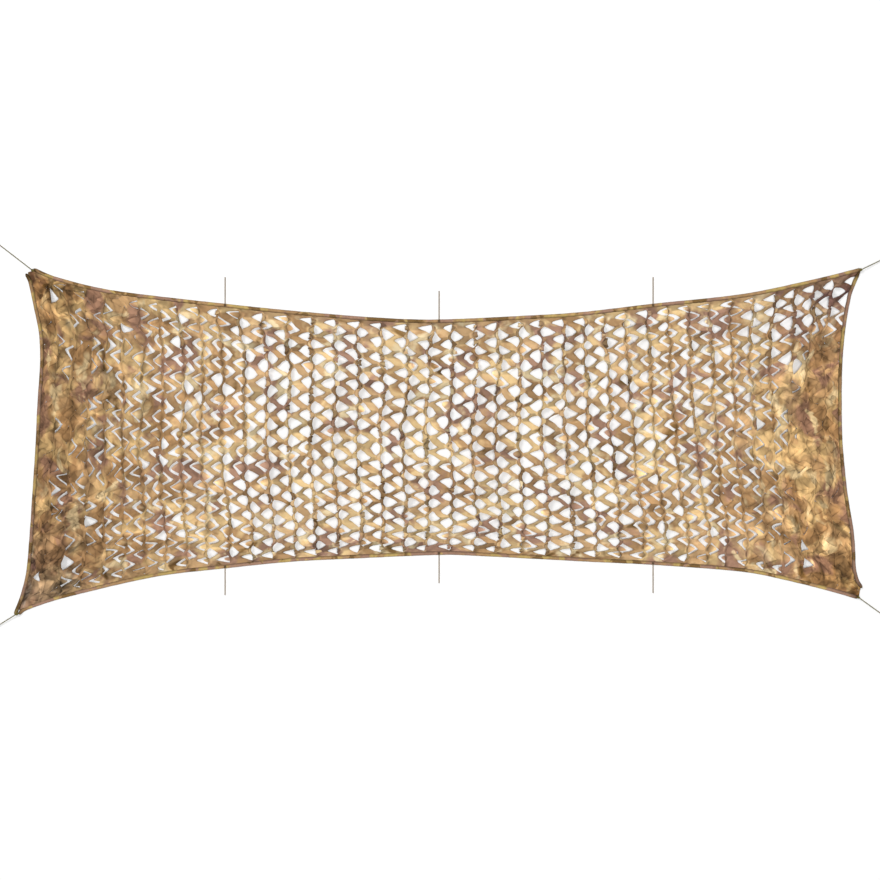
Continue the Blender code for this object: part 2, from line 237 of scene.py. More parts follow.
def cord_material(name, pale, dark):
    """Matt spun cord: fine fibres along the strands, and soiling that comes and goes."""
    made = plain_material(name, pale, 0.8)
    tree = made.node_tree
    shader = tree.nodes["Principled BSDF"]
    shader.inputs["Specular IOR Level"].default_value = CORD_GLOSS
    chart = shading_node(tree, "UVMap", uv_map="print")
    stretch = shading_node(tree, "Mapping", {"Scale": (140.0, 1600.0, 1.0)}, {"Vector": chart.outputs["UV"]})
    fibre = noise_texture(tree, stretch.outputs["Vector"], 1.0, 3.0)
    place = shading_node(tree, "TexCoord")
    soil = noise_texture(tree, place.outputs["Object"], 26.0)
    amount = counted(tree, "MULTIPLY_ADD", fibre.outputs["Fac"], 0.7, soil.outputs["Fac"])
    mixed = shading_node(tree, "Mix", {"A": (*dark, 1.0), "B": (*pale, 1.0)}, {"Factor": amount},
                         data_type="RGBA")
    bump = shading_node(tree, "Bump", {"Strength": 0.22, "Distance": 0.0004},
                        {"Height": fibre.outputs["Fac"]})
    tree.links.new(mixed.outputs["Result"], shader.inputs["Base Color"])
    tree.links.new(bump.outputs["Normal"], shader.inputs["Normal"])
    return made


def straight(start, end):
    """Points along a taut cord, three diameters apart."""
    count = max(2, round((end - start).length / (3 * CORD)))
    return [start.lerp(end, n / count) for n in range(count + 1)]


def knot_path(middle, along):
    """The wraps of a pulled-tight knot round the cord that runs through it."""
    aside = Vector((-along.y, along.x, 0.0))
    up = Vector((0.0, 0.0, 1.0))
    radius = KNOT_RADIUS - KNOT_CORD / 2
    steps = KNOT_TURNS * KNOT_STEPS
    points = []
    for n in range(steps + 1):
        turn = 2 * math.pi * KNOT_TURNS * n / steps
        run = (n / steps - 0.5) * (KNOT_LENGTH - KNOT_CORD)
        points.append(middle + along * run + radius * (aside * math.cos(turn) + up * math.sin(turn)))
    return points


def loop_points(foot, along, aside):
    """An eye of cord whose two straight legs end side by side at the knot."""
    points = [foot + aside * LOOP_FOOT]
    for n in range(LOOP_TURNS + 1):
        turn = math.pi * n / LOOP_TURNS
        out = LOOP_LEG + (LOOP_LENGTH - LOOP_LEG) * abs(math.sin(turn)) ** 0.8
        wide = LOOP_FOOT * math.cos(turn) + LOOP_WIDTH / 2 * math.sin(2 * turn)
        points.append(foot + along * out + aside * wide)
    points.append(foot - aside * LOOP_FOOT)
    return points


olive_cord = cord_material("olive cord", *OLIVE_CORD)
for corner, (x, y, along_x, along_y) in CORNER_CORDS.items():
    along = Vector((along_x, along_y, 0.0)).normalized()
    aside = Vector((-along.y, along.x, 0.0))
    knot_middle = Vector((x, y, KNOT_HEIGHT))
    start = knot_middle + along * (KNOT_LENGTH / 2 + CORD_CLEAR)
    end = start + along * ((CORD_REACH - abs(start.x)) / abs(along.x))
    end.z = CORD / 2 + CORD_LIFT
    far = end + along * (KNOT_LENGTH / 2 + CORD_CLEAR)
    far.z = KNOT_RADIUS
    foot = far + along * (KNOT_LENGTH / 2 + CORD_LIFT)
    foot.z = CORD / 2
    near_knot = laid_rope("net_knot_" + corner, knot_path(knot_middle, along), KNOT_CORD, olive_cord,
                          side_hint=tuple(along))
    far_knot = laid_rope("far_knot_" + corner, knot_path(far, along), KNOT_CORD, olive_cord,
                         side_hint=tuple(along))
    eye = laid_rope("far_eye_" + corner, loop_points(foot, along, aside), CORD, olive_cord)
    path = straight(start - along * KNOT_LENGTH * 0.5, end + along * KNOT_LENGTH * 0.5)
    cord = laid_rope("guy_cord_" + corner, path, CORD, olive_cord)
    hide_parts("corner_knot_" + corner)
    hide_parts("end_knot_" + corner)
    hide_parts("end_loop_" + corner)
    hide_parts("corner_cord_" + corner)
    for piece in (near_knot, far_knot, eye, cord):
        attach(piece, "root")


# Ties. Six short cords with plain ends are caught in the stitching of the long tapes and stand
# straight out from them: three along the upper edge, three along the lower.
TIES = {                 # place along the net, and where its free end lies
    "tie_top_left": (-1.280, 0.989),
    "tie_top_middle": (0.004, 0.906),
    "tie_top_right": (1.288, 0.989),
    "tie_bottom_left": (-1.280, -0.919),
    "tie_bottom_middle": (0.004, -0.847),
    "tie_bottom_right": (1.288, -0.907),
}
TIE_SEWN = 0.012         # length of a tie inside the tape's fold
TAN_CORD = ((0.215, 0.115, 0.008), (0.105, 0.055, 0.003))       # pale and dark

tan_cord = cord_material("tan cord", *TAN_CORD)
for tie, (x, free_y) in TIES.items():
    low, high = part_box(tie)
    root_y = low.y if free_y > 0 else high.y
    sewn_in = -TIE_SEWN if free_y > 0 else TIE_SEWN
    path = straight(Vector((x, root_y + sewn_in, CORD / 2)), Vector((x, free_y, CORD / 2)))
    cord = laid_rope(tie + "_cord", path, CORD, tan_cord)
    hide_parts(tie)
    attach(cord, "root")


# Netting. One printed cloth is slit in rows of tongue-shaped cuts and pulled sideways, so that it
# opens into zigzag ribbons between narrow upright spines. It is pulled wide in the middle and hangs
# nearly shut at both ends.
COLUMNS = 39
ROWS = 16
COLUMN_PULL = (0.28, 0.18)    # how much wider the middle columns stand: all over, more at half width
COLUMN_SWING = 0.09      # how the widest columns drift from the upper left to the lower right
ROW_SQUEEZE = 0.06       # how much closer the rows lie near the long tapes
# Share of the length, and how far up the rows lean there
ROW_LEAN = ((0.0, -0.07), (0.3, -0.07), (0.4, -0.02), (0.52, -0.13), (0.62, -0.13), (0.72, -0.06),
            (0.82, 0.08), (1.0, 0.08))
CORNER_RUN = 0.15        # how far from a corner the cloth's edge joins the tape's middle line
EDGES = {                # axis that each runs along, and the corners where it starts and ends
    "bottom": (0, (-1, -1), (1, -1)),
    "top": (0, (-1, 1), (1, 1)),
    "left": (1, (-1, -1), (-1, 1)),
    "right": (1, (1, -1), (1, 1)),
}


def tape_edges(node, axis):
    """Outer and inner edge of a tape's underside, each in order along the tape."""
    points = np.array([tuple(v.co) for v in nodes[node].data.vertices])
    levels = sorted(set(np.round(points[:, 2], 4)))
    low = np.unique(np.round(points[points[:, 2] < levels[0] + 2e-4][:, :2], 5), axis=0)
    step = points[np.abs(points[:, 2] - levels[1]) < 2e-4][:, :2]
    inner = np.array([np.abs(step - p).sum(axis=1).min() < 2e-4 for p in low])
    edges = []
    for chosen in (low[~inner], low[inner]):
        edges.append(chosen[np.argsort(chosen[:, axis])])
    return edges


def net_corner(side_x, side_y):
    """The CAD netting's outermost point towards a corner."""
    points = np.array([tuple(v.co)[:2] for v in nodes["netting"].data.vertices])
    return points[np.argmax(points @ (side_x, side_y))]


def tape_middle(node, axis):
    """The middle line of a tape's underside, the distance along it and its half widths."""
    outer, inner = tape_edges(node, axis)
    count = min(len(outer), len(inner))
    middle = (outer[:count] + inner[:count]) / 2
    half = np.linalg.norm(outer[:count] - inner[:count], axis=1) / 2
    return middle, run_along(middle), half


def cloth_edge(edge):
    """The cloth's edge along a tape's middle line, as points and their share of the whole run."""
    axis, first, last = EDGES[edge]
    middle, run = tape_middle("tape_" + edge, axis)[:2]
    kept = middle[(run > CORNER_RUN) & (run < run[-1] - CORNER_RUN)]
    line = np.vstack([CORNER_SPOTS[first], kept, CORNER_SPOTS[last]])
    run = run_along(line)
    return line, run / run[-1]


CORNER_SPOTS = {(side_x, side_y): net_corner(side_x, side_y) for side_x in (-1, 1) for side_y in (-1, 1)}
CLOTH_EDGES = {edge: cloth_edge(edge) for edge in EDGES}
SEWN_STEP = 0.02         # between the points of the sewn-in edge
SEWN_DEPTH = (0.07, 0.14)    # share of the length and width over which its change dies out
# The printed cloth is sewn in almost to the ends of the tapes: where its corners lie, and how far
# each tape's free end runs on past them, the long tape's first
SEWN_CORNERS = {
    (-1, 1): ((-2.463, 1.018), 0.012, 0.010),
    (1, 1): ((2.524, 1.020), 0.018, 0.008),
    (-1, -1): ((-2.504, -0.996), 0.040, 0.036),
    (1, -1): ((2.531, -0.922), 0.010, 0.008),
}


def sewn_edge(edge):
    """The sewn-in edge, with the same shares as the plain one wherever the two run together."""
    axis, first, last = EDGES[edge]
    middle, tape_run = tape_middle("tape_" + edge, axis)[:2]
    tape_end = tape_run[-1] - SEWN_CORNERS[last][1 + axis]
    at = np.arange(SEWN_CORNERS[first][1 + axis], tape_end, SEWN_STEP)
    line = np.vstack([SEWN_CORNERS[first][0], spots_at(at, tape_run, middle), SEWN_CORNERS[last][0]])
    plain_line, plain_share = CLOTH_EDGES[edge]
    plain_at = np.interp(plain_line[1:-1, axis], middle[:, axis], tape_run)
    run = run_along(line)
    joins = np.interp(plain_at[[0, -1]], at, run[1:-1])
    share = np.interp(run, [0.0, *joins, run[-1]], [0.0, plain_share[1], plain_share[-2], 1.0])
    inside = (at > plain_at[0]) & (at < plain_at[-1])
    share[1:-1][inside] = np.interp(at[inside], plain_at, plain_share[1:-1])
    return line, share


SEWN_EDGES = {edge: sewn_edge(edge) for edge in EDGES}


def edge_place(edges, edge, share):
    """Points on an edge of the cloth at shares of its whole run."""
    line, shares = edges[edge]
    return spots_at(share, shares, line)


def cloth_place(column, row):
    """Plan position of the slit pattern's column and row on the stretched cloth."""
    w = column / COLUMNS
    r = row / ROWS
    lean = np.interp(w, *np.transpose(ROW_LEAN))
    v = r + (lean * np.sin(np.pi * r) - ROW_SQUEEZE / 2 * np.sin(2 * np.pi * r)) / np.pi
    pull = COLUMN_PULL[0] + COLUMN_PULL[1] * np.sin(np.pi * v)
    swing = COLUMN_SWING * (1 - 2 * v) * (1 - np.cos(4 * np.pi * w)) / (4 * np.pi)
    u = (w + pull * (1 - np.cos(np.pi * w)) / np.pi + swing) / (1 + 2 * pull / np.pi)
    share_x = u[..., None]
    share_y = v[..., None]
    plain = {edge: edge_place(CLOTH_EDGES, edge, v if axis else u) for edge, (axis, *_) in EDGES.items()}
    low = CORNER_SPOTS[-1, -1] * (1 - share_x) + CORNER_SPOTS[1, -1] * share_x
    high = CORNER_SPOTS[-1, 1] * (1 - share_x) + CORNER_SPOTS[1, 1] * share_x
    place = plain["bottom"] * (1 - share_y) + plain["top"] * share_y
    place = place + plain["left"] * (1 - share_x) + plain["right"] * share_x
    place = place - low * (1 - share_y) - high * share_y
    # Where the sewn-in edge parts from the plain one, the cloth near it goes with it
    off_edge = {"bottom": share_y, "top": 1 - share_y, "left": share_x, "right": 1 - share_x}
    near = {}
    for edge, (axis, *_) in EDGES.items():
        near[edge] = np.clip(1 - off_edge[edge] / SEWN_DEPTH[1 - axis], 0, 1) ** 2
        place = place + near[edge] * (edge_place(SEWN_EDGES, edge, v if axis else u) - plain[edge])
    for corner, spot in CORNER_SPOTS.items():
        near_side = near["left" if corner[0] < 0 else "right"]
        near_level = near["bottom" if corner[1] < 0 else "top"]
        place = place - near_side * near_level * (SEWN_CORNERS[corner][0] - spot)
    return place


NOISE_GAIN = 1.6
NOISE_APART = 7.31       # distance between the fields of one seed and the next


def noise_field(x, y, scale, seed):
    """Smooth noise from about -1 to 1 at each point."""
    flat_x = np.ravel(x) * scale
    flat_y = np.ravel(y) * scale
    values = [noise.noise(Vector((a, b, NOISE_APART * seed))) for a, b in zip(flat_x, flat_y)]
    return np.array(values).reshape(np.shape(x)) * NOISE_GAIN


def pattern_grid(steps):
    """Columns and rows over the whole pattern, in steps of a part of a slit."""
    return np.meshgrid(np.arange(COLUMNS * steps + 1) / steps, np.arange(ROWS * steps + 1) / steps,
                       indexing="ij")


def two_noises(column, row, coarse, fine, part):
    """A coarse noise field with a part of a fine one on it, each given as its scale and seed."""
    return noise_field(column, row, *coarse) + part * noise_field(column, row, *fine)


# Tables over the whole pattern, a quarter of a slit apart, that are read between their points. The
# first is the height of the laid folds, felt for from above on the solid that the cloth follows
FOLD_ABOVE = 0.2         # where the rays start that feel for the folds
FOLD_BESIDE = 0.010      # height where a ray goes through a gap
FOLD_SMOOTHINGS = 4
table_column, table_row = pattern_grid(4)
solid = BVHTree.FromPolygons(
    [v.co for v in nodes["netting"].data.vertices],
    [tuple(p.vertices) for p in nodes["netting"].data.polygons],
)
fold_table = np.zeros(table_column.shape)
table_place = cloth_place(table_column, table_row)
for index in np.ndindex(fold_table.shape):
    x, y = table_place[index]
    hit = solid.ray_cast(Vector((x, y, FOLD_ABOVE)), Vector((0.0, 0.0, -1.0)))[0]
    fold_table[index] = hit.z if hit is not None else FOLD_BESIDE
for _ in range(FOLD_SMOOTHINGS):
    fold_table[1:-1] = (fold_table[:-2] + 2 * fold_table[1:-1] + fold_table[2:]) / 4
    fold_table[:, 1:-1] = (fold_table[:, :-2] + 2 * fold_table[:, 1:-1] + fold_table[:, 2:]) / 4


# How far the cloth is pulled open: 1 in the middle of the net, 0 where it is shut. The left end is
# shut as far as LEFT_SHUT along the net and opens over the run of LEFT_OPENS. The right end's border
# depends on the place across the net, and how far open it is on the run from that border
LEFT_SHUT = -2.35
LEFT_OPENS = 1.23
RIGHT_SHUT = ((-0.9, 2.25), (-0.5, 2.15), (0.0, 2.08), (0.35, 2.22), (0.62, 2.42), (0.78, 2.58), (0.90, 3.00))
RIGHT_OPENS = ((0.0, 0.0), (0.12, 0.33), (0.42, 0.68), (1.20, 1.0))
right_shut = np.interp(table_place[..., 1], *np.transpose(RIGHT_SHUT))
open_table = np.minimum(
    np.clip((table_place[..., 0] - LEFT_SHUT) / LEFT_OPENS, 0, 1),
    np.interp(right_shut - table_place[..., 0], *np.transpose(RIGHT_OPENS)),
)

# How the slits wander off their columns and rows, and how the slack cloth is crumpled
WANDER = (0.08, 0.09, 0.06, 0.06)    # columns and rows, broad; columns and rows, fine
wander_across = WANDER[0] * noise_field(table_column, table_row, 0.45, 1)
wander_across += WANDER[2] * noise_field(table_column, table_row, 1.3, 2)
wander_along = WANDER[1] * noise_field(table_column, table_row, 0.40, 3)
wander_along += WANDER[3] * noise_field(table_column, table_row, 1.2, 4)
slack_crumple = two_noises(table_column, table_row, (0.85, 21), (1.7, 22), 0.6)

# Finer tables of the slack cloth's wrinkles: sharp creases between soft swellings
CREASE_WIDTH = 0.20      # in the swellings' height
fine_column, fine_row = pattern_grid(10)
swell_table = two_noises(fine_column, fine_row, (0.8, 61), (1.9, 62), 0.7)
crease_table = np.clip(1 - np.abs(swell_table) / CREASE_WIDTH, 0, 1)
mottle_table = two_noises(fine_column, fine_row, (2.2, 63), (4.6, 64), 0.8)


def table_value(table, column, row):
    """What a table says at columns and rows between its points."""
    steps = (table.shape[0] - 1) // COLUMNS
    c = np.clip(column * steps, 0, COLUMNS * steps - 1e-6)
    r = np.clip(row * steps, 0, ROWS * steps - 1e-6)
    i = c.astype(int)
    j = r.astype(int)
    a = c - i
    b = r - j
    low = table[i, j] * (1 - b) + table[i, j + 1] * b
    high = table[i + 1, j] * (1 - b) + table[i + 1, j + 1] * b
    return low * (1 - a) + high * a


# The stated gaps of the net, by the column and row of their slits: these stand widest open
stated = []
for gap in frame["record"]["physics"]["openings"]:
    words = gap["name"].split("_")
    stated.append((int(words[2]), int(words[4])))

# Slits. Their sizes are in columns across and in rows along the spine
SLIT_HALF = 0.38         # half length of a slit along its spine
SLIT_TIP = 0.70          # how far a slit's point reaches across
SLIT_TIPS = (0.84, 1.06)      # how much shorter or longer one slit is than the next: across
SLIT_HEIGHTS = (0.86, 1.02)   # and along
SLIT_SKEW = 0.07         # how far off its middle a slit's point may lie
SLIT_ROUND = (0.88, 0.30)     # how pointed a shut slit's end is, and how much blunter an open one's
TWIST = 0.045            # how far all the points of the slits are drawn off their middles
TWIST_SHUT = 0.35        # share of it where the net is shut
STATED_TIP = 1.12        # how much further the stated gaps reach
EDGE_SLITS = ((0.9, 0.74), (2.1, 0.90))       # how near the long tapes slits are shorter, and how short
TOP_RIGHT = np.s_[-4:, -4:]   # the slits in the upper right corner, which is pulled wide
TOP_RIGHT_MORE = (1.12, 1.03, 0.12)           # how much wider, taller and blunter they are
slit_random = np.random.default_rng(11)


def slit_table(offset, first, last, twist):
    """Shape of each slit at row + offset: how far it reaches, its skew and its height."""
    size = (COLUMNS, ROWS + 1)
    column, row = np.meshgrid(np.arange(COLUMNS) + 0.5, np.arange(ROWS + 1) + offset, indexing="ij")
    pulled = table_value(open_table, column, row)
    reach = SLIT_TIP * slit_random.uniform(*SLIT_TIPS, size)
    reach[TOP_RIGHT] *= TOP_RIGHT_MORE[0]
    skew = slit_random.uniform(-SLIT_SKEW, SLIT_SKEW, size)
    skew += twist * (TWIST_SHUT + (1 - TWIST_SHUT) * pulled)
    tall = slit_random.uniform(*SLIT_HEIGHTS, size)
    tall[TOP_RIGHT] *= TOP_RIGHT_MORE[1]
    for near, shorter in EDGE_SLITS:
        tall[(row < near) | (row > ROWS - near)] *= shorter
    blunt = SLIT_ROUND[0] - SLIT_ROUND[1] * pulled
    blunt[TOP_RIGHT] -= TOP_RIGHT_MORE[2]
    if offset == 0.0:
        for place in stated:
            reach[place] = SLIT_TIP * STATED_TIP
            skew[place] = 0.0
            tall[place] = 1.0
    return {"offset": offset, "first": first, "last": last, "reach": reach, "skew": skew, "tall": tall,
            "blunt": blunt}


right_slits = slit_table(0.0, 1, ROWS - 1, -TWIST)
left_slits = slit_table(0.5, 0, ROWS - 1, TWIST)


def slit_reach(table, column, level):
    """How far the slit at this level reaches from its spine, in columns: 0 where the cloth is whole."""
    nearest = np.round(level - table["offset"]).astype(int)
    present = (nearest >= table["first"]) & (nearest <= table["last"])
    number = np.clip(nearest, 0, ROWS)
    half = SLIT_HALF * table["tall"][column, number]
    away = level - table["offset"] - nearest
    away = away - table["skew"][column, number] * (1 - np.minimum(1, np.abs(away / half)) ** 2)
    share = np.clip(1 - np.abs(away) / half, 0, 1)
    return np.where(present, table["reach"][column, number] * share ** table["blunt"][column, number], 0.0)


# How much the bunched cloth darkens towards each corner, in red, green and blue, and how far out: partly
# painted shade of its bunched folds, partly a tint of the cloth there
CORNER_SHADE_AND_TINT = {
    (-1, 1): ((0.30, 0.36, 0.44), 0.30),
    (1, 1): ((0.56, 0.62, 0.47), 0.42),
    (-1, -1): ((0.46, 0.46, 0.24), 0.40),
    (1, -1): ((0.24, 0.30, 0.40), 0.30),
}

# How the laid cloth lies, in metres, and how light it is, with its painted shade and highlights
CLOTH_LOW = 0.0012
CLOTH_SEWN = 0.0023      # height in the fold of the tapes
CLOTH_HEIGHTS = (0.0008, 0.043)     # lowest and highest
FLAT_EDGE = (0.9, 0.6)   # columns and rows over which it comes down to the tapes
FOLD_SHARE = 0.78        # of the laid folds' height
FOLD_THICKNESS = 0.002   # of the CAD solid, which the height is measured without
CRUMPLE = 0.0045         # in the slack cloth: broad crumples
SWELLING = 0.0022        # its soft swellings
CREASE = 0.0030          # and the creases between them
WANDER_SLACK = (2.6, 2.0)     # how many times as much slack cloth wanders, across and along
SLACK_PULLED = 0.8       # how much of the creasing goes where the cloth is pulled open
SLACK_BUNCHED = 0.8      # and how much comes where it bunches in a corner
# Painted shade of the dense folds where the net hangs shut, deepest towards its left end
GATHERED_SHADE = ((0.0, 0.38), (0.2, 0.24), (0.8, 0.12), (1.0, 0.12))     # darker along the length, where shut
# Painted bounce light: light passed between the folds warms the colour where the cloth lies in several layers
PAINTED_BOUNCE_WARMTH = (0.0, 0.10, 0.23)    # how red, green and blue fall where the cloth lies in several layers
# Painted shade in the slack cloth's creases and painted highlight on its swellings, over its random mottling;
# the least a crease's shade leaves
CREASE_DARK = 0.34
MOTTLE_LIGHT = 0.20
SWELLING_LIGHT = 0.12
DARKEST_CREASE = 0.35
SLACK_MOST = 1.4
PRINT_SLIT = (0.118, 0.10)    # size of a column and a row of slits on the flat cloth


def new_cloth():
    """Lists that the laid cloth's points and faces are gathered in."""
    return {"spots": [], "prints": [], "shades": [], "slacks": [], "faces": [], "count": 0}


def lay_cloth(cloth, column, row, rise, shade, print_column=None):
    """Adds cloth points at columns and rows of the slit pattern, and gives their numbers."""
    column, row, rise, shade = np.broadcast_arrays(column, row, rise, shade)
    inside_x = np.clip(np.minimum(column, COLUMNS - column) / FLAT_EDGE[0], 0, 1)
    inside_y = np.clip(np.minimum(row, ROWS - row) / FLAT_EDGE[1], 0, 1)
    inside = inside_x * inside_y
    pulled = table_value(open_table, column, row)
    wander_x, wander_y = [most - (most - 1) * pulled for most in WANDER_SLACK]
    across = column + table_value(wander_across, column, row) * inside * wander_x
    along = row + table_value(wander_along, column, row) * inside * wander_y
    spot = cloth_place(np.clip(across, 0, COLUMNS), np.clip(along, 0, ROWS))
    fold = np.maximum(table_value(fold_table, column, row) - FOLD_THICKNESS, 0.0)
    crumple = CRUMPLE * (1 - pulled) * (1 + table_value(slack_crumple, column, row))
    bunched = []
    for corner, (shade_and_tint, reach) in CORNER_SHADE_AND_TINT.items():
        off = np.linalg.norm(spot - SEWN_CORNERS[corner][0], axis=-1)
        bunched.append((shade_and_tint, np.exp(-(off / reach) ** 2)))
    slack = (1 - SLACK_PULLED * pulled) * (1 + SLACK_BUNCHED * sum(near for shade_and_tint, near in bunched))
    swell = np.clip(table_value(swell_table, column, row), -1, 1)
    crease = table_value(crease_table, column, row)
    crumple = crumple + SWELLING * slack * (1 + swell) - CREASE * slack * crease
    height = CLOTH_LOW + (FOLD_SHARE * fold + rise + crumple) * inside
    height = np.where(inside < 0.02, CLOTH_SEWN, np.clip(height, *CLOTH_HEIGHTS))
    cloth["spots"].append(np.concatenate([spot, height[..., None]], axis=-1).reshape(-1, 3))
    source = column if print_column is None else np.broadcast_to(print_column, column.shape)
    cloth["prints"].append(np.stack([source * PRINT_SLIT[0], row * PRINT_SLIT[1]], axis=-1).reshape(-1, 2))
    # Painted shade where the cloth is gathered shut
    gathered_shade = 1 - (1 - pulled) * np.interp(column / COLUMNS, *np.transpose(GATHERED_SHADE))
    mottle = table_value(mottle_table, column, row)
    # Painted shade in the creases and painted highlight on the swellings, over the random mottling
    painted_light_and_tone = 1 - slack * (CREASE_DARK * crease - MOTTLE_LIGHT * mottle - SWELLING_LIGHT * swell)
    painted_light_and_tone = np.maximum(painted_light_and_tone, DARKEST_CREASE)
    cloth["slacks"].append(np.clip(slack, 0, SLACK_MOST).ravel())
    # Painted bounce light warms the colour where the cloth lies in layers
    tone = (shade * gathered_shade * painted_light_and_tone)[..., None] * (1 - (1 - pulled)[..., None] * np.array(PAINTED_BOUNCE_WARMTH))
    # Painted shade of the bunched folds towards each corner, partly a tint of the cloth there
    for shade_and_tint, near in bunched:
        tone = tone * (1 - np.array(shade_and_tint) * near[..., None])
    cloth["shades"].append(tone.reshape(-1, 3))
    numbers = cloth["count"] + np.arange(column.size).reshape(column.shape)
    cloth["count"] += column.size
    return numbers


def strip_faces(cloth, first, second):
    """Joins two runs of points, each in order along its last axis, by a strip of faces."""
    faces = np.stack([first[..., :-1], second[..., :-1], second[..., 1:], first[..., 1:]], axis=-1)
    cloth["faces"].append(faces.reshape(-1, 4))


def shade_piece(piece, shades):
    """Gives a piece its painted shade and tone at each point: red, green and blue, and how creased it is."""
    tone = piece.data.color_attributes.new(name="shade", type="FLOAT_COLOR", domain="POINT")
    tone.data.foreach_set("color", shades.ravel())


def cloth_piece(name, cloth, surface):
    """The laid cloth as an object, with its print's places and its painted shade, and no unused points."""
    faces = np.concatenate(cloth["faces"])
    used, renumbered = np.unique(faces, return_inverse=True)
    spots = np.concatenate(cloth["spots"])[used]
    prints = np.concatenate(cloth["prints"])[used]
    shades = np.concatenate(cloth["shades"])[used]
    slacks = np.concatenate(cloth["slacks"])[used]
    piece = mesh_piece(name, spots, renumbered.reshape(-1, 4).tolist(), surface, prints)
    shade_piece(piece, np.column_stack([shades, slacks]))
    return piece


# Spines: left edge, crest and right edge at each level
SPINE_HALF = 0.038       # half width of a spine, in columns
SPINE_BUNCHED = (1.7, 0.65)   # how many times as wide it is where shut, and how much less where open
SPINE_LUMPS = 0.7        # share by which its width comes and goes
SPINE_SWAY = 0.062       # how far the pull of the ribbons bends it to and fro
SPINE_SWAY_SHUT = 0.3    # share of it where the net is shut
SPINE_WAVER = 0.050      # how far it bends besides
SPINE_SIDES = 0.3        # height of its sides, as a share of its crest's
SPINE_CREST = (0.002, 0.007, 0.005)     # its height: shut, more where open, and its lumps
# Painted shade on the spines, where the cloth bunches and the rolled tongues shade it, lifted where a ribbon
# joins and between the slits
SPINE_SHADES = ((0.32, 0.24, 0.12, 0.8), (0.66, 0.42, 0.34, 1.0))   # open and shut: middle, lumps, ends
JUNCTION = 0.070         # how much wider it stands where a ribbon joins it
JUNCTION_SHUT = 0.25     # share of it where the net is shut
JUNCTION_SHADE = 0.90
JUNCTION_FROM = (0.20, 0.22)  # rows off a slit's middle where it starts, and the run over which it grows
CREST_FROM = (0.16, 0.26)     # the same on the crest, between the slits of both sides
SLACK_LEVEL = 0.0055     # slack ribbons and spines lie level with each other
ROW_CUTS = (0.0, 0.05, 0.10, 0.17, 0.24, 0.32, 0.40, 0.50, 0.60, 0.68, 0.76, 0.83, 0.90, 0.95)
row_levels = np.array([row + cut for row in range(ROWS) for cut in ROW_CUTS] + [float(ROWS)])


def spine_bend(level, pulled):
    """How far a spine is bent aside, in columns."""
    return -SPINE_SWAY * np.cos(2 * np.pi * level) * (SPINE_SWAY_SHUT + (1 - SPINE_SWAY_SHUT) * pulled)


cloth = new_cloth()
spine_grid, level_grid = np.meshgrid(np.arange(COLUMNS + 1.0), row_levels, indexing="ij")
spine_open = table_value(open_table, spine_grid, level_grid)
sway = spine_bend(level_grid, spine_open)
sway += SPINE_WAVER * noise_field(spine_grid * 5.3, level_grid, 1.7, 33)
lumps = noise_field(spine_grid * 3.1, level_grid, 2.7, 31)
half_spine = SPINE_HALF * (1.0 + SPINE_LUMPS * lumps) * (SPINE_BUNCHED[0] - SPINE_BUNCHED[1] * spine_open)
crest = SPINE_CREST[0] + (SPINE_CREST[1] + SPINE_CREST[2] * lumps) * spine_open
# Painted shade of the spines, deeper where the net is open
shade_open, shade_shut = [np.clip(a + b * lumps, low, high) for a, b, low, high in SPINE_SHADES]
spine_shut = 1 - spine_open ** 1.2
spine_shade = shade_open * (1 - spine_shut) + shade_shut * spine_shut


def joined(away):
    """1 where a ribbon joins the spine, 0 beside the middle of a slit this many rows away."""
    share = np.clip((away - JUNCTION_FROM[0]) / JUNCTION_FROM[1], 0, 1)
    return share * share * (3 - 2 * share)


def lay_spine(off_middle, height, junction):
    """One line of each spine, with its painted shade, as pale as a ribbon where it is at a junction."""
    place = np.clip(spine_grid + sway + off_middle, 0, COLUMNS)
    rise = crest * height + SLACK_LEVEL * (1 - spine_open) ** 2
    return lay_cloth(cloth, place, level_grid, rise, spine_shade * (1 - junction) + JUNCTION_SHADE * junction)


joined_right = joined(np.abs(level_grid - np.round(level_grid)))
joined_left = joined(np.abs(level_grid - 0.5 - np.round(level_grid - 0.5)))
junction_flare = JUNCTION_SHUT + (1 - JUNCTION_SHUT) * spine_open
flare_right = half_spine + JUNCTION * joined_right * junction_flare
flare_left = half_spine + JUNCTION * joined_left * junction_flare
between = np.abs(level_grid * 2 - np.round(level_grid * 2))
between = np.clip((between - CREST_FROM[0]) / CREST_FROM[1], 0, 1)
between = between * np.clip(0.75 + 0.5 * noise_field(spine_grid * 2.3, level_grid, 1.1, 35), 0, 1)
spine_left = lay_spine(-flare_left, SPINE_SIDES, joined_left)
spine_crest = lay_spine(0, 1 - 0.5 * between, between)
spine_right = lay_spine(flare_right, SPINE_SIDES, joined_right)
strip_faces(cloth, spine_left[1:], spine_crest[1:])
strip_faces(cloth, spine_crest[:-1], spine_right[:-1])

# Ribbons: from the right edge of one spine to the left edge of the next. The arms that rise to the
# right are turned on edge by the pull, the others lie open.
RIBBON_WIDTHS = 4
RIBBON_CROWN = 0.003     # height of its middle over its edges
RIBBON_LIFT = 0.0045
RIBBON_LOOSE = 0.003     # how far loose ribbons rise and fall
RIBBON_WAVER = 0.022     # how far its edges waver, in columns
ARM_TURNS = (0.002, -0.005)   # how far the two kinds of arm are turned on edge
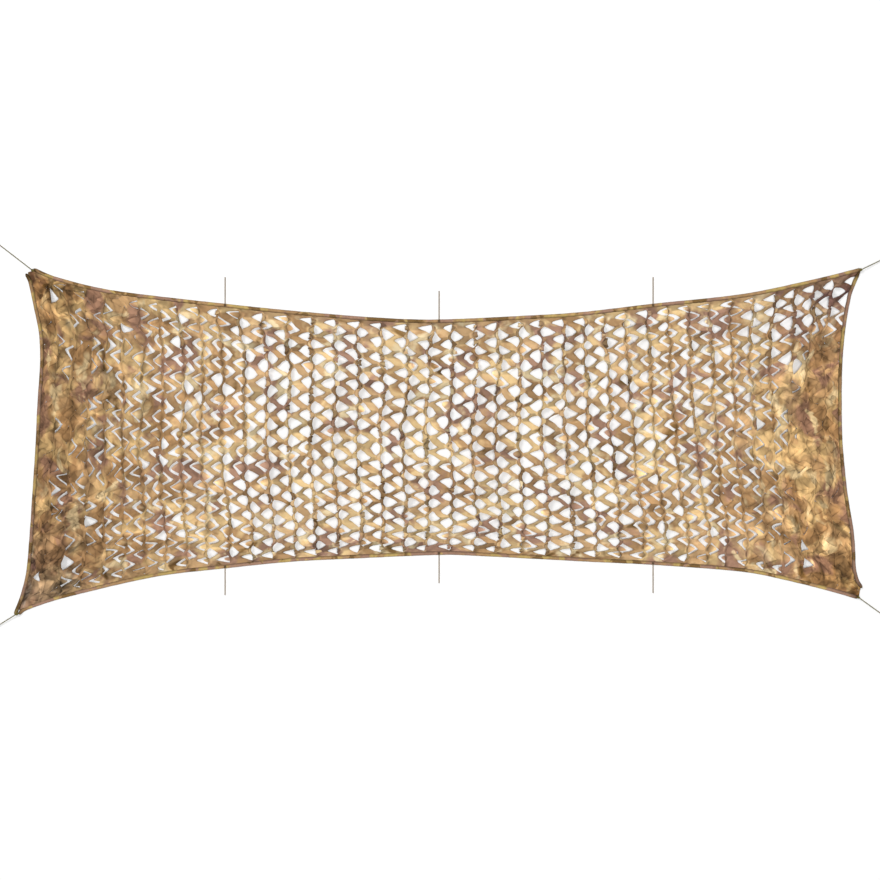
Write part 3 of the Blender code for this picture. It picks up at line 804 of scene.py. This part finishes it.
# Painted shade along the arms' edges where the net is open, deeper on the arms turned on edge; where it is
# shut their edges get a painted highlight
ARM_EDGES = (0.84, 0.42)      # and how light their edges are where the net is open
ARM_EDGE_SHUT = 1.08     # and where it is shut
ARM_TONES = (0.60, 1.10)      # how dark and light the print makes single arms
column_grid, level_grid = np.meshgrid(np.arange(COLUMNS), row_levels, indexing="ij")
from_left = slit_reach(right_slits, column_grid, level_grid)
from_right = slit_reach(left_slits, column_grid, level_grid)
left_side = column_grid + sway[:-1] + flare_right[:-1]
right_side = column_grid + 1 + sway[1:] - flare_left[1:]
span = right_side - left_side
start_at = left_side + span * from_left
end_at = right_side - span * from_right
ribbon_open = table_value(open_table, column_grid + 0.5, level_grid)
arm = np.floor(level_grid * 2).astype(int)
arm_number = arm + 64 * column_grid
arm_tone = np.random.default_rng(23).uniform(*ARM_TONES, int(arm_number.max()) + 1)[arm_number]
arm_tone = arm_tone ** (0.8 + 0.2 * ribbon_open)
turned = np.where(arm % 2 == 0, *ARM_TURNS) * (0.4 + 0.6 * ribbon_open)
# Painted shade, or a painted highlight where the net is shut, along the edges of the arms
edge_shade = np.where(arm % 2 == 0, *ARM_EDGES)
edge_shade = ARM_EDGE_SHUT - (ARM_EDGE_SHUT - edge_shade) * (0.10 + 0.90 * ribbon_open ** 0.6)
loose = RIBBON_LOOSE * (1 + noise_field(column_grid, level_grid, 0.9, 5)) * (1.4 - ribbon_open)
strips = []
for k in range(RIBBON_WIDTHS + 1):
    t = k / RIBBON_WIDTHS
    across = start_at * (1 - t) + end_at * t
    from_middle = 2 * t - 1
    rise = RIBBON_CROWN * (1 - from_middle ** 2) + turned * from_middle + RIBBON_LIFT + loose
    shade = np.where(abs(from_middle) > 0.5, edge_shade, 0.5 + 0.5 * edge_shade) * arm_tone
    across = across + RIBBON_WAVER * noise_field(column_grid * 2.7 + 9.1 * k, level_grid, 4.3, 71)
    strips.append(lay_cloth(cloth, np.clip(across, 0, COLUMNS), level_grid, rise, shade))
strips[0] = np.where(from_left <= 0, spine_right[:-1], strips[0])
strips[-1] = np.where(from_right <= 0, spine_left[1:], strips[-1])
for k in range(RIBBON_WIDTHS):
    strip_faces(cloth, strips[k], strips[k + 1])


def print_blotch(tree, chart, scale, offset, low, high):
    """A mask of print blotches: 1 inside them, with ragged edges."""
    move = shading_node(tree, "Mapping", {"Location": (offset, offset * 1.7, 0.0)},
                        {"Vector": chart.outputs["UV"]})
    field = noise_texture(tree, move.outputs["Vector"], scale, 3.0, 0.5)
    edge = shading_node(tree, "MapRange", {"From Min": low, "From Max": high},
                        {"Value": field.outputs["Fac"]})
    return edge.outputs["Result"]


CLOTH_GLOSS = 0.12
PALE_SAND = (0.95, 0.76, 0.46)
SAND = (0.90, 0.64, 0.32)
TAN = (0.72, 0.465, 0.24)
MID_BROWN = (0.54, 0.325, 0.155)
MAUVE_BROWN = (0.46, 0.27, 0.185)
OLIVE_BROWN = (0.27, 0.155, 0.055)
CLOTH_BLOTCHES = (       # colour, scale and place of the blotches, and where their soft edge starts and ends
    (SAND, 4.2, 3.1, 0.45, 0.53),
    (MID_BROWN, 5.0, 11.7, 0.50, 0.57),
    (MAUVE_BROWN, 5.0, 23.9, 0.53, 0.61),
    (PALE_SAND, 7.5, 41.5, 0.57, 0.65),
    (TAN, 9.0, 61.5, 0.60, 0.68),
    (OLIVE_BROWN, 8.0, 37.3, 0.64, 0.72),
)


def camouflage_material(name, ground, blotches):
    """Printed cloth in earth colours, laid in blotches with soft ragged edges over a ground, and multiplied
    by the painted shade and tone that its pieces carry.
    """
    made = plain_material(name, ground, 0.85)
    tree = made.node_tree
    shader = tree.nodes["Principled BSDF"]
    chart = shading_node(tree, "UVMap", uv_map="print")
    flat = chart.outputs["UV"]
    colour = None
    for paint, scale, offset, low, high in blotches:
        mask = print_blotch(tree, chart, scale, offset, low, high)
        printed = shading_node(tree, "Mix", {"A": (*ground, 1.0), "B": (*paint, 1.0)}, {"Factor": mask},
                               data_type="RGBA")
        if colour is not None:
            tree.links.new(colour, printed.inputs["A"])
        colour = printed.outputs["Result"]
    # Painted shade in the creases of the slack cloth, as strong as the shade's fourth value says
    painted_light_and_tone = shading_node(tree, "Attribute", attribute_name="shade")
    crease = noise_texture(tree, flat, 11.0, 2.0, 0.7)
    off_line = counted(tree, "ABSOLUTE", counted(tree, "SUBTRACT", crease.outputs["Fac"], 0.5))
    on_line = counted(tree, "MAXIMUM", counted(tree, "MULTIPLY_ADD", off_line, -11.0, 1.0), 0.0)
    # Flat facets between them, with ragged sides, each painted lighter or darker as it is tilted
    ragged = noise_texture(tree, flat, 16.0)
    pulled_off = shading_node(tree, "VectorMath", {"Scale": 0.09}, {"Vector": ragged.outputs["Color"]},
                              operation="SCALE")
    shifted = shading_node(tree, "VectorMath", (), {0: flat, 1: pulled_off.outputs["Vector"]},
                           operation="ADD")
    facet = shading_node(tree, "TexVoronoi", {"Scale": 19.0, "Smoothness": 0.25},
                         {"Vector": shifted.outputs["Vector"]}, feature="SMOOTH_F1")
    split = shading_node(tree, "SeparateColor", (), {"Color": facet.outputs["Color"]})
    light_side = counted(tree, "MULTIPLY_ADD", split.outputs["Red"], 0.64, -0.28)
    depth = counted(tree, "MULTIPLY_ADD", on_line, -0.32, light_side)
    depth = counted(tree, "MULTIPLY", depth, painted_light_and_tone.outputs["Alpha"])
    creased = counted(tree, "MAXIMUM", counted(tree, "ADD", depth, 1.0), 0.25)
    tinted = shading_node(tree, "VectorMath", (), {"Vector": painted_light_and_tone.outputs["Color"], "Scale": creased},
                          operation="SCALE")
    shaded = shading_node(tree, "Mix", {"Factor": 1.0}, {"A": colour, "B": tinted.outputs["Vector"]},
                          data_type="RGBA", blend_type="MULTIPLY")
    # Fine rumples, and over them the relief of the facets and creases
    rumple = noise_texture(tree, flat, 85.0)
    bump = shading_node(tree, "Bump", {"Strength": 0.5, "Distance": 0.004}, {"Height": rumple.outputs["Fac"]})
    fold = shading_node(tree, "Bump", {"Strength": 0.7, "Distance": 0.010},
                        {"Height": depth, "Normal": bump.outputs["Normal"]})
    shader.inputs["Specular IOR Level"].default_value = CLOTH_GLOSS
    tree.links.new(shaded.outputs["Result"], shader.inputs["Base Color"])
    tree.links.new(fold.outputs["Normal"], shader.inputs["Normal"])
    return made


camouflage = camouflage_material("camouflage cloth", TAN, CLOTH_BLOTCHES)
netting = cloth_piece("slit_cloth", cloth, camouflage)
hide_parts("netting")
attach(netting, "root")


# Leaves. Each slit leaves a tongue of cloth rooted on its spine. Where the net is pulled wide the
# tongues roll up tight along the spine; where it is slack they lie in their slits and nearly shut them.
LEAF_PARTS = 7
LEAF_WIDTHS = 4
LEAF_STEPS = 5           # finer steps in each part that its curl is added up from
LEAF_HIGHEST = 0.019     # over the cloth
ROLLED_LENGTH = 0.070    # of a rolled tongue's whole run
ROLLED_LENGTHS = (0.75, 1.15)      # how much shorter or longer one is than the next
FLAT_LENGTH = (1.12, 0.62)    # of a flat one in its slit's lengths, and how much less where it is agape
FLAT_LENGTHS = (0.92, 1.04)   # as above
ROLLED_SHARE = (0.02, 0.88, 4.2)   # how many roll up: least, more where open, and how late that comes
AJAR_SHARE = (0.20, 0.15, 1.05)    # how many stand ajar: least, more to the left, more where open
AGAPE = (0.56, 0.24, -0.18, 0.26)  # how far they do: least, more where open, and the draw between
AJAR_FROM = 0.06         # how far open the net is before any do in full
HALF_ROLLED_SHARE = (0.10, 0.75)   # how many of the others curl half round: least, more where open
ROLLED_TURN = (3.6, 7.2)      # the angles through which they curl
HALF_TURN = (0.6, 1.5)
FLAT_TURN = (0.2, 0.8)
LATE_TURN = 1.2          # how much more of the curl is near the tip
ROLLED_START = (0.1, 1.1)     # the angles at which they leave the spine
FLAT_START = (0.0, 0.3)
LEAF_LEAN = 0.05         # how far a tip is off its root's middle, in rows
ROLLED_ROOT = (0.5, 1.0)      # width of a tongue's root in slit lengths
FLAT_ROOT = (1.10, 0.46)      # the same, and how much less where it is agape
ROOT_PLACE = (0.6, 0.1)       # how far from the spine's middle it is, in half widths: rolled, and flat
LEAF_TAPER = (0.93, 1.6, 1.15)     # how much of its width goes, and how late: rolled, and flat
LEAF_LOW = (0.005, 0.0002, 0.001, 0.003)      # height of a rolled one; of a flat one at root, tip, agape
# Painted shade on the tongues: darkest at the root by the spine, on a shut one's sides under the ribbons and
# in an agape one's root; a painted highlight makes the tips paler, where the thin cloth is lit
ROLLED_DARK = (0.22, 0.84, 0.20)   # shade of a rolled one's root: the draw between, more where shut
FLAT_DARK = (0.62, 0.26, 0.04, 0.16)    # of a flat one's: middle, draw, more, and more where open
LEAF_PALER = (0.10, 0.56)     # how much lighter the tips are: rolled, and flat
SIDES_DARK = 0.32        # how much darker the sides of a shut tongue are
ROOT_DARK = 0.42         # and the root of one that stands agape
LEAF_PRINT = 0.13        # run of cloth that has one column's length of print
UPPER_RIGHT = np.s_[-5:, -3:]      # tongues that are all rolled up, in the wide upper right corner
RIGHT_EDGE = np.s_[-2:, :-2]       # and those that all lie flat, down the right edge
# Where along the net more tongues stay caught in their slits, how far round, and how many more
CAUGHT = ((1.48, 0.42, 0.70), (-1.42, 0.30, 0.45))
leaf_random = np.random.default_rng(5)
cloth = new_cloth()
for table, side in ((right_slits, 1), (left_slits, -1)):
    numbers = np.arange(table["first"], table["last"] + 1)
    column, number = np.meshgrid(np.arange(COLUMNS), numbers, indexing="ij")
    level = number + table["offset"]
    spine = column + (0 if side > 0 else 1)
    size = column.shape
    pulled = table_value(open_table, column + 0.5, level)
    chance = leaf_random.uniform(0, 1, size)
    middle_x = cloth_place(column + 0.5, level + 0.0)[..., 0]
    caught = sum(most * np.exp(-((middle_x - place) / round_it) ** 2) for place, round_it, most in CAUGHT)
    rolled = chance < ROLLED_SHARE[0] + ROLLED_SHARE[1] * (1 - caught) * pulled ** ROLLED_SHARE[2]
    rolled[0] &= side < 0
    rolled[-1] &= side > 0
    rolled[UPPER_RIGHT] = True
    rolled[RIGHT_EDGE] = False
    ajar_share = AJAR_SHARE[0] + AJAR_SHARE[1] * (middle_x < 0) + AJAR_SHARE[2] * pulled
    ajar = leaf_random.uniform(0, 1, size) < ajar_share
    agape = np.clip(AGAPE[0] + AGAPE[1] * pulled + leaf_random.uniform(*AGAPE[2:], size), 0, 1)
    agape = np.where(ajar, agape, 0.0) * np.clip(pulled / AJAR_FROM, 0, 1)
    half_share = HALF_ROLLED_SHARE[0] + HALF_ROLLED_SHARE[1] * pulled
    half_rolled = (~rolled) & (leaf_random.uniform(0, 1, size) < half_share)
    for place in stated:
        if side > 0:
            rolled[place[0], place[1] - table["first"]] = True
    ends = cloth_place(np.stack([column + 0.0, column + 1.0]), np.stack([level, level]) + 0.0)
    spacing = np.linalg.norm(ends[1] - ends[0], axis=-1)
    slit_length = table["reach"][column, number] * spacing
    rolled_length = ROLLED_LENGTH * leaf_random.uniform(*ROLLED_LENGTHS, size)
    flat_length = slit_length * (FLAT_LENGTH[0] - FLAT_LENGTH[1] * agape)
    length = np.where(rolled, rolled_length, flat_length * leaf_random.uniform(*FLAT_LENGTHS, size))
    rolled_turn = leaf_random.uniform(*ROLLED_TURN, size)
    half_turn = leaf_random.uniform(*HALF_TURN, size)
    flat_turn = leaf_random.uniform(*FLAT_TURN, size)
    turn = np.where(rolled, rolled_turn, np.where(half_rolled, half_turn, flat_turn))
    rolled_start = leaf_random.uniform(*ROLLED_START, size)
    start_angle = np.where(rolled, rolled_start, leaf_random.uniform(*FLAT_START, size))
    lean = leaf_random.uniform(-LEAF_LEAN, LEAF_LEAN, size)
    run = np.linspace(0, 1, LEAF_PARTS * LEAF_STEPS + 1)
    angle = start_angle[..., None] + turn[..., None] * run ** LATE_TURN
    step = length[..., None] / (LEAF_PARTS * LEAF_STEPS)
    out = np.cumsum(np.cos(angle) * step, axis=-1) - np.cos(angle[..., :1]) * step
    up = np.cumsum(np.sin(angle) * step, axis=-1) - np.sin(angle[..., :1]) * step
    out = out[..., ::LEAF_STEPS]
    up = up[..., ::LEAF_STEPS]
    share = run[::LEAF_STEPS]
    width = np.linspace(-1, 1, LEAF_WIDTHS + 1)
    rolled_root = leaf_random.uniform(*ROLLED_ROOT, size)
    half = SLIT_HALF * table["tall"][column, number]
    half = half * np.where(rolled, rolled_root, FLAT_ROOT[0] - FLAT_ROOT[1] * agape)
    taper = 1 - LEAF_TAPER[0] * share ** np.where(rolled, *LEAF_TAPER[1:])[..., None]
    root = level[..., None] + half[..., None] * width
    root_sway = spine_bend(root, pulled[..., None])
    slant = (table["skew"][column, number] + lean)[..., None, None] * share[:, None]
    row = level[..., None, None] + half[..., None, None] * width * taper[..., None] + slant
    base_column = spine[..., None] + root_sway
    base_column = base_column + side * SPINE_HALF * np.where(rolled, *ROOT_PLACE)[..., None]
    centre = base_column.mean(axis=-1)[..., None, None]
    across = base_column[..., None, :] * (1 - share[:, None]) + centre * share[:, None]
    across = across + side * out[..., None] / spacing[..., None, None]
    flat_low = (LEAF_LOW[2] + LEAF_LOW[3] * agape[..., None]) * np.minimum(1, share * 3)
    below = np.where(rolled[..., None], LEAF_LOW[0], LEAF_LOW[1] + flat_low)[..., None]
    lifted = np.where(rolled, 1.0, agape)[..., None, None]
    rise = below + np.minimum(up, LEAF_HIGHEST)[..., None] * lifted + 0 * row
    # Painted shade and highlight of each tongue, as set out above
    rolled_dark = leaf_random.uniform(*ROLLED_DARK[:2], size) + ROLLED_DARK[2] * (1 - pulled)
    flat_dark = leaf_random.uniform(-FLAT_DARK[1], FLAT_DARK[1], size) * (0.6 + 0.4 * pulled)
    flat_dark = FLAT_DARK[0] + flat_dark + FLAT_DARK[2] + FLAT_DARK[3] * pulled
    paler = np.where(rolled, *LEAF_PALER)[..., None, None] * share[:, None]
    shade = np.where(rolled, rolled_dark, flat_dark)[..., None, None] + paler + 0 * row
    sides_dark = SIDES_DARK * np.where(rolled, 0, 1 - agape)[..., None, None]
    shade = shade * (1 - sides_dark * np.abs(width) ** 3)
    shade = shade - ROOT_DARK * np.where(rolled, 0, agape)[..., None, None] * (1 - share[:, None]) ** 2.5
    print_run = side * share[:, None] * (length / LEAF_PRINT)[..., None, None]
    print_column = spine[..., None, None] + print_run + 0 * row
    numbers = lay_cloth(cloth, np.clip(across, 0, COLUMNS), np.clip(row, 0, ROWS), rise, shade, print_column)
    near_root = numbers[..., :-1, :]
    near_tip = numbers[..., 1:, :]
    if side > 0:
        strip_faces(cloth, near_root, near_tip)
    else:
        strip_faces(cloth, near_tip, near_root)
leaves = cloth_piece("slit_leaves", cloth, camouflage)
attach(leaves, "root")


# Edge tapes. A strip of the same printed cloth is folded over each edge of the net and sewn through
# both of its layers. The stitching draws it into small puckers, and its ends are turned in thick.
TAPE_PROFILE = (         # across from the outer fold, in half widths, and height of each corner
    (1.0, 0.0002), (0.2, 0.0002), (-0.80, 0.0004), (-1.0, 0.0023), (-0.80, 0.0044), (-0.1, 0.0050),
    (0.55, 0.0044), (1.0, 0.0042), (1.0, 0.0034), (-0.70, 0.0036), (-0.85, 0.0023), (-0.70, 0.0010),
    (1.0, 0.0010),
)
TAPE_ENDS = (0.9, 0.022, 0.50, 0.06)    # how much thicker, over what run, how much darker and over what run
TAPE_DIMMER = (0.95, 0.78)    # shade of the long tapes, and of the short ones
# The material's painted crease shade and facets show a little on the tapes too
TAPE_CREASED = 0.3       # how far the print's creases show on them
TAPE_WAVER = 0.0007      # how far the tape wavers aside
TAPE_PUCKER = (0.0011, 0.0006)     # how far the stitching draws its inner edge aside, and its top down
TAPE_PRINT = (0.011, 0.02, 3.7)    # the print's half width and waver, and its shift from tape to tape
# Painted shade at each corner of the tape's profile: lightest on top of the fold, darker down its sides and
# underneath
TAPE_SHADES = (0.35, 0.35, 0.40, 0.50, 0.80, 0.92, 0.60, 0.28, 0.3, 0.3, 0.3, 0.3, 0.3)
TAPE_STEP = 0.012
TAPE_SMOOTHINGS = 6      # of its middle line
OLIVE_SAND = (0.64, 0.45, 0.16)
TAPE_BLOTCHES = (
    (OLIVE_SAND, 8.0, 5.3, 0.49, 0.53),
    (MAUVE_BROWN, 7.0, 29.7, 0.52, 0.56),
    (OLIVE_BROWN, 9.0, 43.9, 0.56, 0.60),
)
# Axis that each runs along, which side the net lies on, and where its far end is drawn to
TAPES = {
    "top": (0, -1.0, None),
    "bottom": (0, 1.0, None),
    "left": (1, -1.0, None),
    "right": (1, 1.0, (2.529, 1.026)),
}


def tape_run(side):
    """Even points along a tape's middle, the way across it to the net, and its half widths."""
    axis, inward, drawn_to = TAPES[side]
    line, run, half = tape_middle("tape_" + side, axis)
    if drawn_to is not None:
        line = np.vstack([line, drawn_to])
        run = run_along(line)
        half = np.append(half[:-3], [half[-4], half[-4], half[-4], half[-1]])
    at = np.linspace(0.0, run[-1], int(run[-1] / TAPE_STEP) + 1)
    spots = spots_at(at, run, line)
    half = np.interp(at, run, half)
    for _ in range(TAPE_SMOOTHINGS):
        spots[1:-1] = (spots[:-2] + 2 * spots[1:-1] + spots[2:]) / 4
    ahead = np.gradient(spots, axis=0)
    ahead /= np.linalg.norm(ahead, axis=1)[:, None]
    across = np.stack([-ahead[:, 1], ahead[:, 0]], axis=1) * inward
    return at, spots, ahead, across, half


edge_print = camouflage_material("edge tape", MID_BROWN, TAPE_BLOTCHES)
tape_runs = {}
for number, side in enumerate(TAPES):
    at, spots, ahead, across, half = tape_run(side)
    tape_runs[side] = (at, spots, ahead, across, half)
    pucker = noise_field(at, at * 0, 55.0, 41 + number)
    waver = noise_field(at, at * 0, 21.0, 51 + number)
    from_end = np.minimum(at, at[-1] - at)
    thick = 1.0 + TAPE_ENDS[0] * np.exp(-(from_end / TAPE_ENDS[1]) ** 2)
    toned = 1 - TAPE_ENDS[2] * np.exp(-(from_end / TAPE_ENDS[3]) ** 2)
    # Painted shade that comes and goes with the puckers; the short tapes are a darker tone
    toned = (0.9 + 0.1 * pucker) * toned * TAPE_DIMMER[TAPES[side][0]]
    vertices = []
    places = []
    shades = []
    for (share, height), shade in zip(TAPE_PROFILE, TAPE_SHADES):
        out = share * half + TAPE_WAVER * waver + TAPE_PUCKER[0] * pucker * (share > 0.5)
        spot = spots + across * out[:, None]
        lift = TAPE_PUCKER[1] * pucker * (height > 0.004)
        vertices.append(np.column_stack([spot, (height + lift) * thick]))
        print_across = share * TAPE_PRINT[0] + TAPE_PRINT[1] * waver
        places.append(np.column_stack([at + TAPE_PRINT[2] * number, print_across]))
        shades.append(shade * toned)
    corners = len(TAPE_PROFILE)
    vertices = np.stack(vertices, axis=1).reshape(-1, 3)
    places = np.stack(places, axis=1).reshape(-1, 2)
    shades = np.repeat(np.stack(shades, axis=1).ravel()[:, None], 4, axis=1)
    shades[:, 3] = TAPE_CREASED
    faces = []
    for n in range(len(at) - 1):
        for k in range(corners):
            a = n * corners + k
            b = n * corners + (k + 1) % corners
            faces.append((a, b, b + corners, a + corners))
    last = (len(at) - 1) * corners
    faces.append(tuple(reversed(range(corners))))
    faces.append(tuple(range(last, last + corners)))
    tape = mesh_piece("edge_tape_" + side, vertices, faces, edge_print, places)
    shade_piece(tape, shades)
    shape = bmesh.new()
    shape.from_mesh(tape.data)
    bmesh.ops.recalc_face_normals(shape, faces=shape.faces)
    shape.to_mesh(tape.data)
    shape.free()
    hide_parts("tape_" + side)
    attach(tape, "root")


# Stitching. One row of lockstitch in tan thread holds each tape's two layers to the cloth, and a
# close block of stitches, a bar tack, holds each tie.
STITCH = (0.0042, 0.0008, 0.0005)    # length, width and height of one stitch
STITCH_STEP = 0.0058
STITCH_PLACE = 0.45      # across from the middle of the tape, in half widths
STITCH_HEIGHT = 0.0046   # of its underside, just in the tape
SEAM_ENDS = 0.02         # how far from a tape's ends the seam stops
TACK = (0.014, 0.0011, 0.0006)       # the same of one stitch of a tack
TACK_STITCHES = 9
TACK_RUN = 0.013         # of the whole block, along the tie
TACK_START = 0.004       # from the tape's edge
TACK_HEIGHT = 0.0058
TAN_THREAD = (0.40, 0.28, 0.14)
BROWN_THREAD = (0.10, 0.060, 0.026)
BOX_CORNERS = np.array([(x, y, z) for x in (-0.5, 0.5) for y in (-0.5, 0.5) for z in (0.0, 1.0)])
BOX_FACES = np.array([(0, 1, 3, 2), (4, 6, 7, 5), (0, 4, 5, 1), (2, 3, 7, 6), (1, 5, 7, 3), (0, 2, 6, 4)])


def stitch_boxes(name, spots, ahead, across, sizes, surface):
    """One small box for each stitch, set along the seam."""
    reach = BOX_CORNERS[None] * np.asarray(sizes)
    vertices = np.zeros((len(spots), 8, 3))
    vertices[..., :2] = spots[:, None, :2] + reach[..., :1] * ahead[:, None]
    vertices[..., :2] += reach[..., 1:2] * across[:, None]
    vertices[..., 2] = spots[:, None, 2] + reach[..., 2]
    faces = (BOX_FACES[None] + 8 * np.arange(len(spots))[:, None, None]).reshape(-1, 4)
    return mesh_piece(name, vertices.reshape(-1, 3), faces.tolist(), surface)


thread = plain_material("tan thread", TAN_THREAD, 0.7)
dark_thread = plain_material("brown thread", BROWN_THREAD, 0.7)
seam_spots = []
seam_ahead = []
seam_across = []
for side, (at, spots, ahead, across, half) in tape_runs.items():
    places_along = np.arange(SEAM_ENDS, at[-1] - SEAM_ENDS, STITCH_STEP)
    aside = spots_at(places_along, at, across)
    spot = spots_at(places_along, at, spots)
    spot = spot + aside * (STITCH_PLACE * np.interp(places_along, at, half))[:, None]
    seam_spots.append(np.column_stack([spot, np.full(len(spot), STITCH_HEIGHT)]))
    seam_ahead.append(spots_at(places_along, at, ahead))
    seam_across.append(aside)
seam = stitch_boxes("tape_stitching", np.concatenate(seam_spots), np.concatenate(seam_ahead),
                    np.concatenate(seam_across), STITCH, thread)
tack_spots = []
for tie, (x, free_y) in TIES.items():
    low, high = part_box(tie)
    inward = -1.0 if free_y > 0 else 1.0
    root_y = (low.y if free_y > 0 else high.y) + inward * TACK_START
    for n in range(TACK_STITCHES):
        tack_spots.append((x, root_y + inward * TACK_RUN * n / (TACK_STITCHES - 1), TACK_HEIGHT))
tack_spots = np.array(tack_spots)
level = np.tile((1.0, 0.0), (len(tack_spots), 1))
upright = np.tile((0.0, 1.0), (len(tack_spots), 1))
tacks = stitch_boxes("tie_bar_tacks", tack_spots, level, upright, TACK, dark_thread)
for piece in (seam, tacks):
    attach(piece, "root")
